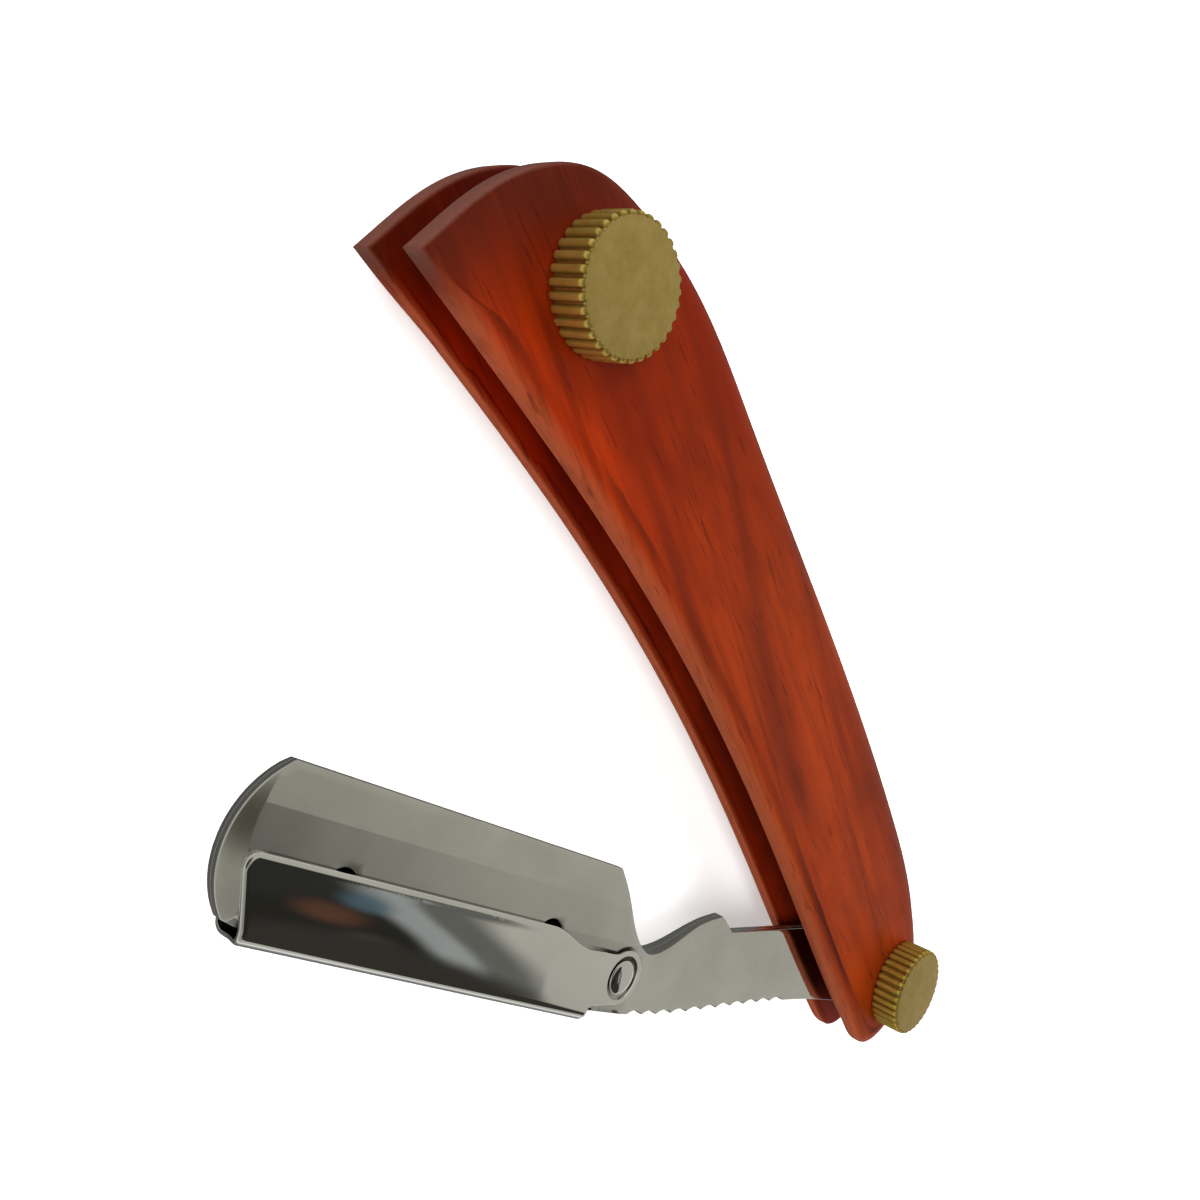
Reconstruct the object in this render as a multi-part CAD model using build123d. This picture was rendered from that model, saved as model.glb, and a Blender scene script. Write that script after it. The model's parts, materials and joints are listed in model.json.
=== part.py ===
from build123d import *
import os
from math import cos, pi, sin

# Folding razor with exchangeable half blade, lying on its side.
# Frame: origin at the centre of the lower pivot nut's outer flat face, +Z along the pivot
# axis, +Y along the handle to the top screw, and the blade holder towards -X.

# ---- Driving dimensions, mm ----
SCREW_SPACING = 120.0  # pivot axis to top screw axis
NUT_R = 6.35  # half inch knurled nuts
NUT_HEIGHT = 4.2
SCALE_THICKNESS = 2.2
SLOT_WIDTH = 4.4  # between the two wooden scales
SHANK_R = 2.0  # M4 studs
RUNNING_GAP = 0.05  # radial clearance of turning fits
HOLDER_ANGLE = 114.3  # holder's length against +X at rest
PLATE_THICKNESS = 0.75  # each of the two holder plates at the tang
HEAD_HALF = 1.5  # half thickness of the holder's head
CLIP_WALL = 0.45
RIVET_AT = (62.9, 8.5)

# ---- Heights above the lower nut's outer face ----
Z_BACK_SCALE = NUT_HEIGHT
Z_SLOT = Z_BACK_SCALE + SCALE_THICKNESS
Z_MIDDLE = Z_SLOT + SLOT_WIDTH / 2
Z_FRONT_SCALE = Z_SLOT + SLOT_WIDTH
Z_FRONT_NUT = Z_FRONT_SCALE + SCALE_THICKNESS

# ---- Handle scales: outline points, with the direction of travel where two curves join ----
SCALE_TIP = (-14.7, 133.0)  # sharp corner at the top of the handle
SCALE_TOP = [(-5.0, 132.9), (4.2, 128.9)]
SCALE_SHOULDER = (10.7, 116.0)
SCALE_BACK_EDGE = [(12.4, 96.0), (13.0, 63.0), (12.2, 25.0)]
SCALE_BACK_END = (9.6, 6.5)
SCALE_PIVOT_END = [(5.2, -3.8), (-3.0, -6.7), (-9.4, -3.4)]
SCALE_FRONT_END = (-10.2, 5.0)
SCALE_FRONT_EDGE = [(-9.0, 30.0), (-7.6, 66.0), (-9.2, 96.6), (-12.0, 117.0)]
TIP_AWAY = (1.0, 0.02)
SHOULDER_DOWN = (0.27, -1.0)
BACK_END_DOWN = (-0.28, -1.0)
FRONT_END_UP = (0.0, 1.0)
TIP_UP = (-0.17, 1.0)
SCALE_ROUNDING = 0.8
SCALE_INNER_ROUNDING = 0.35

# ---- Knurled nuts ----
KNURL_TEETH = 34
KNURL_DEPTH = 0.4
KNURL_TOP_SHARE = 0.5  # part of a pitch that is tooth
NUT_CHAMFER = 0.4
NUT_THREAD_DEPTH = 3.0
NUT_BORE_R = SHANK_R + 0.03

# ---- Washers and spacer ----
WASHER_R = 4.6
WASHER_THICKNESS = SLOT_WIDTH / 2 - PLATE_THICKNESS
SPACER_R = 3.0

# ---- Holder, drawn along +X from the pivot, with +Y towards its spine ----
EDGE_Y = -2.65  # straight edge where the blade comes out
NOSE_X = 114.7
HEEL_X = 68.5
NOSE_APEX = (117.8, 2.4)
NOSE_SPINE = (115.1, 10.9)
SPINE_NOSE = (113.0, 11.3)
SPINE_HEEL = (66.7, 12.8)
HEEL_CURVE = [(66.4, -0.7), (63.7, 2.5)]
NOTCH_BOTTOM = (58.9, 5.4)
NOTCH_CURVE = [(54.2, 3.7), (49.6, 0.6)]
BUMP_TIP = (45.8, -1.0)
BUMP_FOOT = (42.4, 0.5)
TANG_EDGE = (27.3, -2.4)
EYE_R = 5.2
TANG_SPINE = [(60.0, 12.6), (51.0, 12.0), (43.0, 10.7), (35.0, 9.2), (26.0, 7.6), (12.0, 5.9), (0.0, EYE_R)]
JIMP_COUNT = 11
JIMP_PITCH = 3.2
JIMP_DEPTH = 0.5
JIMP_START = 1.5  # from the top of the tang's spine curve
NECK_FROM = 50.0  # the plates spread from tang to head between these
NECK_TO = 60.0
FACETS = [(EDGE_Y, 0.5), (1.1, 1.12), (4.9, HEAD_HALF)]  # across, half thickness
NOSE_BEVEL_WIDTH = 1.9
NOSE_BEVEL_Z = 0.6
POCKET_X = (70.0, 113.2)
POCKET_Y = 4.0
POCKET_DEPTH = 0.75

# ---- Blade seat: half of a standard double-edge blade, 43 mm by 11 mm by 0.1 mm ----
BLADE_SEAT_DEPTH = 0.12
PIN_X = (77.3, 105.9)  # 28.6 mm apart, as the blade's holes
PIN_Y = 6.2
PIN_R = 1.3
PIN_HOLE_R = (2.0, 1.8)
PIN_BELOW_FACE = 0.08

# ---- Locking clip, a folded channel that turns on the rivet ----
CLIP_GAP = 0.02  # clip wall to head face
CLIP_FOLD_HEEL = (66.7, 14.0)  # outside of the fold
CLIP_FOLD_NOSE = (113.0, 12.5)
CLIP_FOLD_R = 1.1
CLIP_EDGE_Y = 4.8
CLIP_NOSE_TOP = (116.4, 5.8)
CLIP_NOSE_CORNER_X = 115.4
CLIP_NOSE_BOTTOM = (113.9, 11.1)
CLIP_NOSE_END = (113.2, 13.6)
CLIP_STEP_X = 77.5  # the long edge drops to the rivet ear here
CLIP_S_CURVE = [(74.0, 5.5), (70.6, 6.3), (67.4, 6.2)]
CLIP_EAR_R = 3.1
CLIP_UNDERCUT = [(66.7, 12.2), (66.7, 13.2), (67.9, 15.0)]

# ---- Rivet ----
RIVET_SHANK_R = 1.4
RIVET_HEAD_R = 2.3
RIVET_DOME = 0.42
RIVET_SEAT = 0.2  # clip metal left under the head
RIVET_SEAT_R = 2.42

CUT_MARGIN = 5.0  # how far cutting tools run past the piece


def disc(radius, z_low, z_high, at=(0.0, 0.0)):
    """Cylinder on an axis parallel to Z."""
    height = z_high - z_low
    return Pos(at[0], at[1], z_low) * Cylinder(radius, height, align=(Align.CENTER, Align.CENTER, Align.MIN))


def prism(wires, z_low, z_high):
    """Closed outline of joined edges, extruded between two heights."""
    face = make_face(wires)
    return Pos(0, 0, z_low) * extrude(face, z_high - z_low, dir=(0, 0, 1))


def block(x_span, y_span, z_span):
    """Box between two values on each axis."""
    size = [span[1] - span[0] for span in (x_span, y_span, z_span)]
    corner = Pos(x_span[0], y_span[0], z_span[0])
    return corner * Box(*size, align=(Align.MIN, Align.MIN, Align.MIN))


def only_solid(shape):
    """The one solid of a finished piece."""
    solids = shape.solids()
    assert len(solids) == 1, len(solids)
    return solids[0]


# ---------------------------------------------------------------- handle
def scale_outline():
    """Slim outline: convex back, slightly hollow front, round pivot end, sharp top corner."""
    top = [SCALE_TIP, *SCALE_TOP, SCALE_SHOULDER]
    back = [SCALE_SHOULDER, *SCALE_BACK_EDGE, SCALE_BACK_END]
    pivot_end = [SCALE_BACK_END, *SCALE_PIVOT_END, SCALE_FRONT_END]
    front = [SCALE_FRONT_END, *SCALE_FRONT_EDGE, SCALE_TIP]
    return [
        Spline(*top, tangents=[TIP_AWAY, SHOULDER_DOWN]),
        Spline(*back, tangents=[SHOULDER_DOWN, BACK_END_DOWN]),
        Spline(*pivot_end, tangents=[BACK_END_DOWN, FRONT_END_UP]),
        Spline(*front, tangents=[FRONT_END_UP, TIP_UP]),
    ]


def scale():
    """Scale with its outer face up: rounded edges and two screw holes."""
    blank = prism(scale_outline(), 0, SCALE_THICKNESS)
    outer_edges = blank.faces().sort_by(Axis.Z)[-1].edges()
    blank = fillet(outer_edges, SCALE_ROUNDING)
    inner_edges = blank.faces().sort_by(Axis.Z)[0].edges()
    blank = fillet(inner_edges, SCALE_INNER_ROUNDING)
    for y in (0.0, SCREW_SPACING):
        blank -= disc(SHANK_R + 2 * RUNNING_GAP, -CUT_MARGIN, SCALE_THICKNESS + CUT_MARGIN, (0.0, y))
    return only_solid(blank)


def knurl_outline():
    """Straight knurl: one tooth and one groove for each pitch."""
    points = []
    pitch = 2 * pi / KNURL_TEETH
    half_top = pitch * KNURL_TOP_SHARE / 2
    groove = pitch * (1 - KNURL_TOP_SHARE) / 4
    for tooth in range(KNURL_TEETH):
        middle = tooth * pitch
        corners = [
            (middle - half_top, NUT_R),
            (middle + half_top, NUT_R),
            (middle + half_top + groove, NUT_R - KNURL_DEPTH),
            (middle + pitch - half_top - groove, NUT_R - KNURL_DEPTH),
        ]
        points += [(radius * cos(angle), radius * sin(angle)) for angle, radius in corners]
    return Polyline(*points, close=True)


def thumb_nut():
    """Blind knurled nut, with its threaded hole at z = 0 and its flat face up."""
    body = prism([knurl_outline()], 0, NUT_HEIGHT)
    envelope = disc(NUT_R, 0, NUT_HEIGHT)
    envelope = chamfer(envelope.edges(), NUT_CHAMFER)
    return only_solid((body & envelope) - disc(NUT_BORE_R, -CUT_MARGIN, NUT_THREAD_DEPTH + 0.2))


def stud():
    """Threaded stud that holds a nut at each end."""
    return only_solid(disc(SHANK_R, Z_BACK_SCALE - NUT_THREAD_DEPTH, Z_FRONT_NUT + NUT_THREAD_DEPTH))


def ring(outer_r, z_low, z_high):
    """Plain washer or spacer tube on a stud."""
    hole = disc(SHANK_R + RUNNING_GAP, z_low - CUT_MARGIN, z_high + CUT_MARGIN)
    return only_solid(disc(outer_r, z_low, z_high) - hole)


def handle():
    """Nodes of the handle: two scales on two clamped studs."""
    front = Pos(0, 0, Z_FRONT_SCALE) * scale()
    back = mirror(front, about=Plane.XY.offset(Z_MIDDLE))
    nodes = {"scale_front": front, "scale_back": back}
    nut_front = Pos(0, 0, Z_FRONT_NUT) * thumb_nut()
    nut_back = mirror(nut_front, about=Plane.XY.offset(Z_MIDDLE))
    for name, y in (("pivot", 0.0), ("top", SCREW_SPACING)):
        nodes[f"{name}_stud"] = Pos(0, y, 0) * stud()
        nodes[f"{name}_nut_front"] = Pos(0, y, 0) * nut_front
        nodes[f"{name}_nut_back"] = Pos(0, y, 0) * nut_back
    nodes["pivot_washer_back"] = ring(WASHER_R, Z_SLOT, Z_SLOT + WASHER_THICKNESS)
    nodes["pivot_washer_front"] = ring(WASHER_R, Z_FRONT_SCALE - WASHER_THICKNESS, Z_FRONT_SCALE)
    nodes["top_spacer"] = Pos(0, SCREW_SPACING, 0) * ring(SPACER_R, Z_SLOT, Z_FRONT_SCALE)
    return nodes


# ---------------------------------------------------------------- holder
def tang_spine():
    """Gently arched lower edge of the tang, down to the pivot eye."""
    return Spline(*TANG_SPINE)


def plate_outline():
    """Outline of a holder plate: head, finger notch, bump, tang and pivot eye."""
    nose = ThreePointArc((NOSE_X, EDGE_Y), NOSE_APEX, NOSE_SPINE)
    return [
        Line((NOSE_X, EDGE_Y), (HEEL_X, EDGE_Y)),
        Spline((HEEL_X, EDGE_Y), *HEEL_CURVE, NOTCH_BOTTOM, *NOTCH_CURVE, BUMP_TIP),
        Line(BUMP_TIP, BUMP_FOOT),
        Line(BUMP_FOOT, TANG_EDGE),
        Spline(TANG_EDGE, (14.0, -4.7), (0.0, -EYE_R), tangents=[(-13.3, -2.6), (-1.0, 0.0)]),
        ThreePointArc((0.0, -EYE_R), (-EYE_R, 0.0), (0.0, EYE_R)),
        tang_spine(),
        Line(TANG_SPINE[0], SPINE_HEEL),
        Line(SPINE_HEEL, SPINE_NOSE),
        Line(SPINE_NOSE, NOSE_SPINE),
        nose,
    ]


def jimps():
    """Scoops along the tang's spine that leave pointed crests for the thumb."""
    edge = tang_spine()
    scoop_r = (JIMP_PITCH**2 / 4 + JIMP_DEPTH**2) / (2 * JIMP_DEPTH)
    cutters = []
    for index in range(JIMP_COUNT):
        share = (JIMP_START + JIMP_PITCH * (index + 0.5)) / edge.length
        point = edge @ share
        along = edge % share
        out = Vector(-along.Y, along.X) if along.X > 0 else Vector(along.Y, -along.X)
        centre = point + out * (scoop_r - JIMP_DEPTH)
        cutters.append(disc(scoop_r, -CUT_MARGIN, CUT_MARGIN, (centre.X, centre.Y)))
    return cutters


def neck_cut():
    """What is cut from above so that the plate thins from head to tang."""
    profile = [
        (-2 * EYE_R, PLATE_THICKNESS),
        (NECK_FROM, PLATE_THICKNESS),
        (NECK_TO, HEAD_HALF),
        (NECK_TO, HEAD_HALF + CUT_MARGIN),
        (-2 * EYE_R, HEAD_HALF + CUT_MARGIN),
    ]
    side = make_face(Plane.XZ * Polyline(*profile, close=True))
    return extrude(side, 4 * CUT_MARGIN, both=True)


def facet_cut():
    """Two long facets that slope to the blade edge."""
    past_edge = (FACETS[0][0] - 1.0, FACETS[0][1] - 0.165)
    top = HEAD_HALF + CUT_MARGIN
    profile = [past_edge, *FACETS, (FACETS[-1][0], top), (past_edge[0], top)]
    side = make_face(Plane.YZ * Polyline(*profile, close=True))
    return Pos(NECK_TO, 0, 0) * extrude(side, NOSE_APEX[0] + CUT_MARGIN - NECK_TO)


def nose_bevel_cut():
    """Conical bevel round the nose, on the nose arc's own centre."""
    arc = ThreePointArc((NOSE_X, EDGE_Y), NOSE_APEX, NOSE_SPINE)
    centre = (arc.arc_center.X, arc.arc_center.Y)
    height = HEAD_HALF - NOSE_BEVEL_Z
    kept = Pos(*centre, NOSE_BEVEL_Z) * Cone(
        arc.radius, arc.radius - NOSE_BEVEL_WIDTH, height, align=(Align.CENTER, Align.CENTER, Align.MIN)
    )
    outside = disc(arc.radius + CUT_MARGIN, NOSE_BEVEL_Z, HEAD_HALF, centre) - kept
    reach = (centre[0], NOSE_APEX[0] + CUT_MARGIN)
    return outside & block(reach, (-4 * CUT_MARGIN, 4 * CUT_MARGIN), (0, HEAD_HALF))


def plain_plate():
    """Holder plate with its inner face on z = 0, before what differs front to back."""
    plate = prism(plate_outline(), 0, HEAD_HALF)
    for cutter in (*jimps(), neck_cut(), facet_cut(), nose_bevel_cut()):
        plate -= cutter
    plate -= block(POCKET_X, (POCKET_Y, 4 * CUT_MARGIN), (-CUT_MARGIN, POCKET_DEPTH))
    plate -= disc(SHANK_R + RUNNING_GAP, -CUT_MARGIN, CUT_MARGIN)
    plate -= disc(RIVET_SHANK_R, -CUT_MARGIN, CUT_MARGIN, RIVET_AT)
    return plate


def front_plate():
    """Near plate, with clearance holes for the blade pins."""
    plate = plain_plate()
    for x, hole_r in zip(PIN_X, PIN_HOLE_R):
        plate -= disc(hole_r, -CUT_MARGIN, CUT_MARGIN, (x, PIN_Y))
    return only_solid(plate)


def back_plate():
    """Far plate, with the pins' holes and a shallow seat for the blade."""
    plate = plain_plate()
    for x in PIN_X:
        plate -= disc(PIN_R, -CUT_MARGIN, CUT_MARGIN, (x, PIN_Y))
    plate -= block(POCKET_X, (EDGE_Y - CUT_MARGIN, POCKET_Y), (-CUT_MARGIN, BLADE_SEAT_DEPTH))
    return only_solid(mirror(plate, about=Plane.XY))


def clip_outline():
    """Side view of the clip: long edge, S-curve, rivet ear and fold."""
    ear_x, ear_y = RIVET_AT
    ear_top = (ear_x + CLIP_EAR_R * cos(pi / 3), ear_y - CLIP_EAR_R * sin(pi / 3))
    ear_bottom = (ear_x, ear_y + CLIP_EAR_R)
    return [
        ThreePointArc(CLIP_NOSE_TOP, (116.1, 5.1), (CLIP_NOSE_CORNER_X, CLIP_EDGE_Y)),
        Line((CLIP_NOSE_CORNER_X, CLIP_EDGE_Y), (CLIP_STEP_X, CLIP_EDGE_Y)),
        Spline((CLIP_STEP_X, CLIP_EDGE_Y), *CLIP_S_CURVE, ear_top, tangents=[(-1, 0), (-0.87, -0.5)]),
        ThreePointArc(ear_top, (ear_x - CLIP_EAR_R, ear_y), ear_bottom),
        Polyline(ear_bottom, *CLIP_UNDERCUT, CLIP_NOSE_END, CLIP_NOSE_BOTTOM, CLIP_NOSE_TOP),
    ]


def clip_channel():
    """Folded channel along the fold line, before it is trimmed to the outline."""
    inner = HEAD_HALF + CLIP_GAP
    outer = inner + CLIP_WALL
    depth = CLIP_FOLD_HEEL[1]
    skin = Pos(-depth / 2, 0) * RectangleRounded(depth, 2 * outer, CLIP_FOLD_R)
    hollow = Pos(-depth / 2 - CLIP_WALL, 0) * RectangleRounded(depth, 2 * inner, CLIP_FOLD_R - CLIP_WALL)
    open_side = Pos(-depth, 0) * Rectangle(depth, 4 * outer, align=(Align.MIN, Align.CENTER))
    near_fold = Pos(-depth / 2, 0) * Rectangle(depth, 4 * outer, align=(Align.MIN, Align.CENTER))
    straight = Pos(-depth, 0) * Rectangle(depth / 2, 2 * outer, align=(Align.MIN, Align.CENTER))
    slot = Pos(-depth, 0) * Rectangle(depth / 2, 2 * inner, align=(Align.MIN, Align.CENTER))
    section = (skin & near_fold) - (hollow & near_fold) + (straight - slot) & open_side
    fold = Vector(*CLIP_FOLD_NOSE) - Vector(*CLIP_FOLD_HEEL)
    plane = Plane(origin=(*CLIP_FOLD_HEEL, 0), x_dir=Vector(-fold.Y, fold.X), z_dir=fold)
    run = extrude(plane * section, fold.length + 3 * CUT_MARGIN)
    return run + extrude(plane * section, -3 * CUT_MARGIN)


def clip():
    """Locking clip with its countersunk rivet ears."""
    reach = 2 * HEAD_HALF
    piece = clip_channel() & prism(clip_outline(), -reach, reach)
    piece -= disc(RIVET_SHANK_R + RUNNING_GAP, -CUT_MARGIN, CUT_MARGIN, RIVET_AT)
    seat_z = HEAD_HALF + CLIP_GAP + RIVET_SEAT
    piece -= disc(RIVET_SEAT_R, seat_z, reach, RIVET_AT)
    piece -= disc(RIVET_SEAT_R, -reach, -seat_z, RIVET_AT)
    return only_solid(piece)


def rivet():
    """Rivet with a low dome at each end."""
    seat_z = HEAD_HALF + CLIP_GAP + RIVET_SEAT
    sphere_r = (RIVET_HEAD_R**2 + RIVET_DOME**2) / (2 * RIVET_DOME)
    piece = disc(RIVET_SHANK_R, -seat_z, seat_z)
    ball = Pos(0, 0, seat_z + RIVET_DOME - sphere_r) * Sphere(sphere_r)
    dome = ball & disc(RIVET_HEAD_R, seat_z, seat_z + 2 * RIVET_DOME)
    piece += dome + mirror(dome, about=Plane.XY)
    return only_solid(Pos(*RIVET_AT, 0) * piece)


def blade_pin(x):
    """Pin that locates the blade, held in the back plate."""
    return only_solid(disc(PIN_R, -HEAD_HALF, HEAD_HALF - PIN_BELOW_FACE, (x, PIN_Y)))


def holder():
    """Nodes of the holder and its clip, turned to the rest angle."""
    nodes = {
        "holder_plate_front": front_plate(),
        "holder_plate_back": back_plate(),
        "blade_pin_heel": blade_pin(PIN_X[0]),
        "blade_pin_nose": blade_pin(PIN_X[1]),
        "clip_rivet": rivet(),
        "locking_clip": clip(),
    }
    place = Location((0, 0, Z_MIDDLE), (0, 0, HOLDER_ANGLE))
    return {name: place * piece for name, piece in nodes.items()}


def main():
    os.makedirs("parts", exist_ok=True)
    for name, piece in {**handle(), **holder()}.items():
        export_step(piece, f"parts/{name}.step")
        print(name, round(piece.volume, 1))


main()
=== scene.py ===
import json
import math

import bmesh
import bpy
import numpy as np
from mathutils import Matrix, Vector
from mathutils.geometry import delaunay_2d_cdt


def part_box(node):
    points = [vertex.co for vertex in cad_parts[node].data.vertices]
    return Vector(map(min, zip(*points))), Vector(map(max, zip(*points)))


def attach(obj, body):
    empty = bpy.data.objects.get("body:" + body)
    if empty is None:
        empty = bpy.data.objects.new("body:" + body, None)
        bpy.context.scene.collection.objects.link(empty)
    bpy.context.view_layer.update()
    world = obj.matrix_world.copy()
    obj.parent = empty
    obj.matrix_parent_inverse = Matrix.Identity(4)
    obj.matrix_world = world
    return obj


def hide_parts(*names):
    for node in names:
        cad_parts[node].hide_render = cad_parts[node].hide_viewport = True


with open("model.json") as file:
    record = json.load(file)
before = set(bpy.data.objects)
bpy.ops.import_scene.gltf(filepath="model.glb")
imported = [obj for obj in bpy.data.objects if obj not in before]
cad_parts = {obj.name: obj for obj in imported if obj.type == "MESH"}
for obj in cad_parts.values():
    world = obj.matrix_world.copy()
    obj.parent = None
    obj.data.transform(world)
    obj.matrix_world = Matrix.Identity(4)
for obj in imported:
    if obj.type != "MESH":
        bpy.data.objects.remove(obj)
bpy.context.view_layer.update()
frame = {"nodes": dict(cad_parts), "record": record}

MM = 0.001

# ---- Camera: place in metres, directions and lens ----
CAMERA_PLACE = Vector((-0.06135, 0.16262, 0.08564))
CAMERA_FORWARD = Vector((0.4261, -0.6124, -0.6660))
CAMERA_UP = Vector((0.6826, 0.7007, -0.2077))
LENS_MM = 34.93
SENSOR_MM = 36.0

# ---- Heights and places from the CAD nodes, mm ----
Z_SLOT_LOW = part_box("scale_back")[1].z / MM
Z_SLOT_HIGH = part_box("scale_front")[0].z / MM
Z_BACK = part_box("scale_back")[0].z / MM
Z_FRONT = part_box("scale_front")[1].z / MM
Z_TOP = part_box("pivot_nut_front")[1].z / MM
Z_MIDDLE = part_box("holder_plate_front")[0].z / MM
TOP_Y = (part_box("top_nut_front")[0].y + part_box("top_nut_front")[1].y) / 2 / MM
CLIP_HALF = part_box("locking_clip")[1].z / MM - Z_MIDDLE

# ---- Handle scales: outline and edges, mm ----
SCALE_TIP = (-14.7, 133.0)
SCALE_TOP = [(-5.0, 132.9), (4.2, 128.9)]
SCALE_SHOULDER = (10.7, 116.0)
SCALE_BACK_EDGE = [(12.4, 96.0), (13.0, 63.0), (12.2, 25.0)]
SCALE_BACK_END = (9.6, 6.5)
SCALE_PIVOT_END = [(5.2, -3.8), (-3.0, -6.7), (-9.4, -3.4)]
SCALE_FRONT_END = (-10.2, 5.0)
SCALE_FRONT_EDGE = [(-9.0, 30.0), (-7.6, 66.0), (-9.2, 96.6), (-12.0, 117.0)]
TIP_AWAY = (1.0, 0.02)  # directions of the outline where its stretches meet
SHOULDER_DOWN = (0.27, -1.0)
BACK_END_DOWN = (-0.28, -1.0)
FRONT_END_UP = (0.0, 1.0)
TIP_UP = (-0.17, 1.0)
SCALE_HOLE_R = 2.1
SCALE_RIM = (2.5, 1.0)  # width and depth of the worn rounding along the front and back edges
SCALE_END_RIM = (0.5, 0.45)  # the top edge is left sharper
SCALE_END_FROM = (122.0, 130.0)
SCALE_INNER_RIM = (0.4, 0.35)
SCALE_MESH = (2.0, 2.0)  # mesh spacing along X and Y on the flat faces
HOLE_RIM = (0.15, 0.12)

# ---- Holder plates: +X runs from the pivot to the nose and +Y to the spine, mm ----
HOLDER_TURN = math.radians(114.3)
EDGE_Y = -2.65
NOSE_X = 114.7
HEEL_X = 68.5
NOSE_APEX = (117.8, 2.4)
NOSE_SPINE = (115.1, 10.9)
SPINE_NOSE = (113.0, 11.3)
SPINE_HEEL = (66.7, 12.8)
HEEL_CURVE = [(66.4, -0.7), (63.7, 2.5), (58.9, 5.4), (54.2, 3.7), (49.6, 0.6)]
BUMP_TIP = (45.8, -1.0)
BUMP_FOOT = (42.4, 0.5)
TANG_EDGE = (27.3, -2.4)
TANG_BELLY = (14.0, -4.7)
TANG_EDGE_WAY = (-13.3, -2.6)
EYE_R = 5.2
PIVOT_HOLE_R = 2.05
TANG_SPINE = [(60.0, 12.6), (51.0, 12.0), (43.0, 10.7), (35.0, 9.2), (26.0, 7.6), (12.0, 5.9), (0.0, EYE_R)]
JIMP_COUNT = 11
JIMP_PITCH = 3.2
JIMP_DEPTH = 0.5
JIMP_START = 1.5
TANG_HALF = 0.75
HEAD_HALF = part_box("holder_plate_front")[1].z / MM - Z_MIDDLE
NECK = (50.0, 60.0)
FACETS = [(EDGE_Y, 0.5), (1.1, 1.12), (4.9, HEAD_HALF)]
NOSE_BEVEL_WIDTH = 1.9
NOSE_BEVEL_Z = 0.6
NOSE_BEVEL_TRACE = 1.3  # the bevel's ridge is looked for over this many widths of it
NOSE_BEVEL_TURN = (-1.1, 1.2)  # and between these angles at the nose's centre
RIDGE_GAP = 0.08  # the facets' ridge lines stop this short of the bevel
POCKET_X = (70.0, 113.2)
POCKET_Y = 4.0
POCKET_DEPTH = 0.75
POCKET_TOP = 20.0  # beyond the spine
POCKET_STEP = 0.02  # the pocket's step rises over this width
PIN_X = (77.3, 105.9)
PIN_Y = 6.2
PIN_R = 1.3
PIN_HOLE_R = (2.0, 1.8)
PLATE_RIM = (0.13, 0.11)
PLATE_INNER_RIM = (0.03, 0.03)
PLATE_MESH = (0.9, 0.7)  # mesh spacing along X and Y

# ---- Locking clip and its rivet, mm ----
CLIP_WALL = 0.45
CLIP_BEND_R = 1.1
CLIP_FOLD_HEEL = (66.7, 14.0)
CLIP_FOLD_NOSE = (113.0, 12.5)
CLIP_EDGE_Y = 4.8
CLIP_NOSE_TOP = (116.02, 6.6)
CLIP_NOSE_DOWN = (2.5, -5.3)
CLIP_NOSE_CORNER = [(115.95, 5.35), (115.0, CLIP_EDGE_Y)]
CLIP_NOSE_BOTTOM = (113.9, 11.1)
CLIP_NOSE_END_X = 113.3  # where the fold ends at the nose
CLIP_STEP_X = 77.5
CLIP_S_CURVE = [(74.0, 5.5), (70.6, 6.3), (67.4, 6.2)]
CLIP_EAR_R = 3.1
CLIP_EAR_TURN = math.pi / 3  # where the S-curve meets the ear
CLIP_EAR_WAY = (-0.87, -0.5)
CLIP_UNDERCUT = [(66.7, 12.2), (66.7, 13.2)]
CLIP_HEEL_X = 67.2  # where the fold ends at the heel
CLIP_RIM = (  # rolled rim along the free edges: width and drop at distances along the holder
    [(64.0, 0.15), (80.0, 0.35), (100.0, 0.55), (113.0, 0.60)],
    [(64.0, 0.10), (80.0, 0.18), (100.0, 0.22), (113.0, 0.25)],
)
CLIP_INNER_RIM = (0.05, 0.05)
CLIP_MESH = (0.5, 0.25)  # mesh spacing along the holder and across the sheet
CLIP_BELLY = 0.08  # how far the walls bow between the rim and the fold
CLIP_BELLY_RUN = 8.0  # the bow grows over this length from the S-curve
RIVET_AT = (62.9, 8.5)
RIVET_SHANK_R = 1.4
RIVET_HEAD_R = 1.95  # the head stands clear of its seat all round
RIVET_HEAD_EDGE = 0.12  # the dome starts this far above the seat
RIVET_HEAD_FOOT = [(0.02, 0.05), (0.15, 0.0)]  # inset and height of the head's lower edge
RIVET_SHANK_Z = 0.5  # from the middle plane
RIVET_SEAT_R = 2.42
RIVET_SEAT_EDGE = 0.1
CLIP_SEAT_DEPTH = 0.25
CLIP_WALL_RUN = 6.5
FOLD_FLAT = CLIP_HALF - CLIP_BEND_R
FOLD_RUN = FOLD_FLAT + CLIP_BEND_R * math.pi / 2

# ---- Thumb nuts, mm ----
NUT_R = 6.35
NUT_HEIGHT = Z_TOP - Z_FRONT
NUT_ROUNDING = 0.42
NUT_FACE = [(0.0, 0.0), (1.2, 0.004), (2.6, 0.02), (4.0, 0.05), (5.2, 0.09), (5.83, 0.12)]  # radius, drop
NUT_FACE_EDGE = 0.13
NUT_EDGE_TURN = (0.15, 0.1)  # angles left out of the roundings at the face and at the foot
NUT_FOOT_R = 4.6
NUT_SIDE_MARGIN = 0.15
NUT_BORE_R = 2.03
NUT_BORE_DEPTH = 3.2
NUT_BORE_CHAMFER = (0.3, 0.25)
KNURL_TEETH = 34
KNURL_DEPTH = 0.42
KNURL_CROWN = 0.05
KNURL_LAND = 0.42  # share of a tooth's half pitch that its top takes, and the same again for its flank
KNURL_SEGMENTS = 14  # mesh points round each tooth

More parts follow.
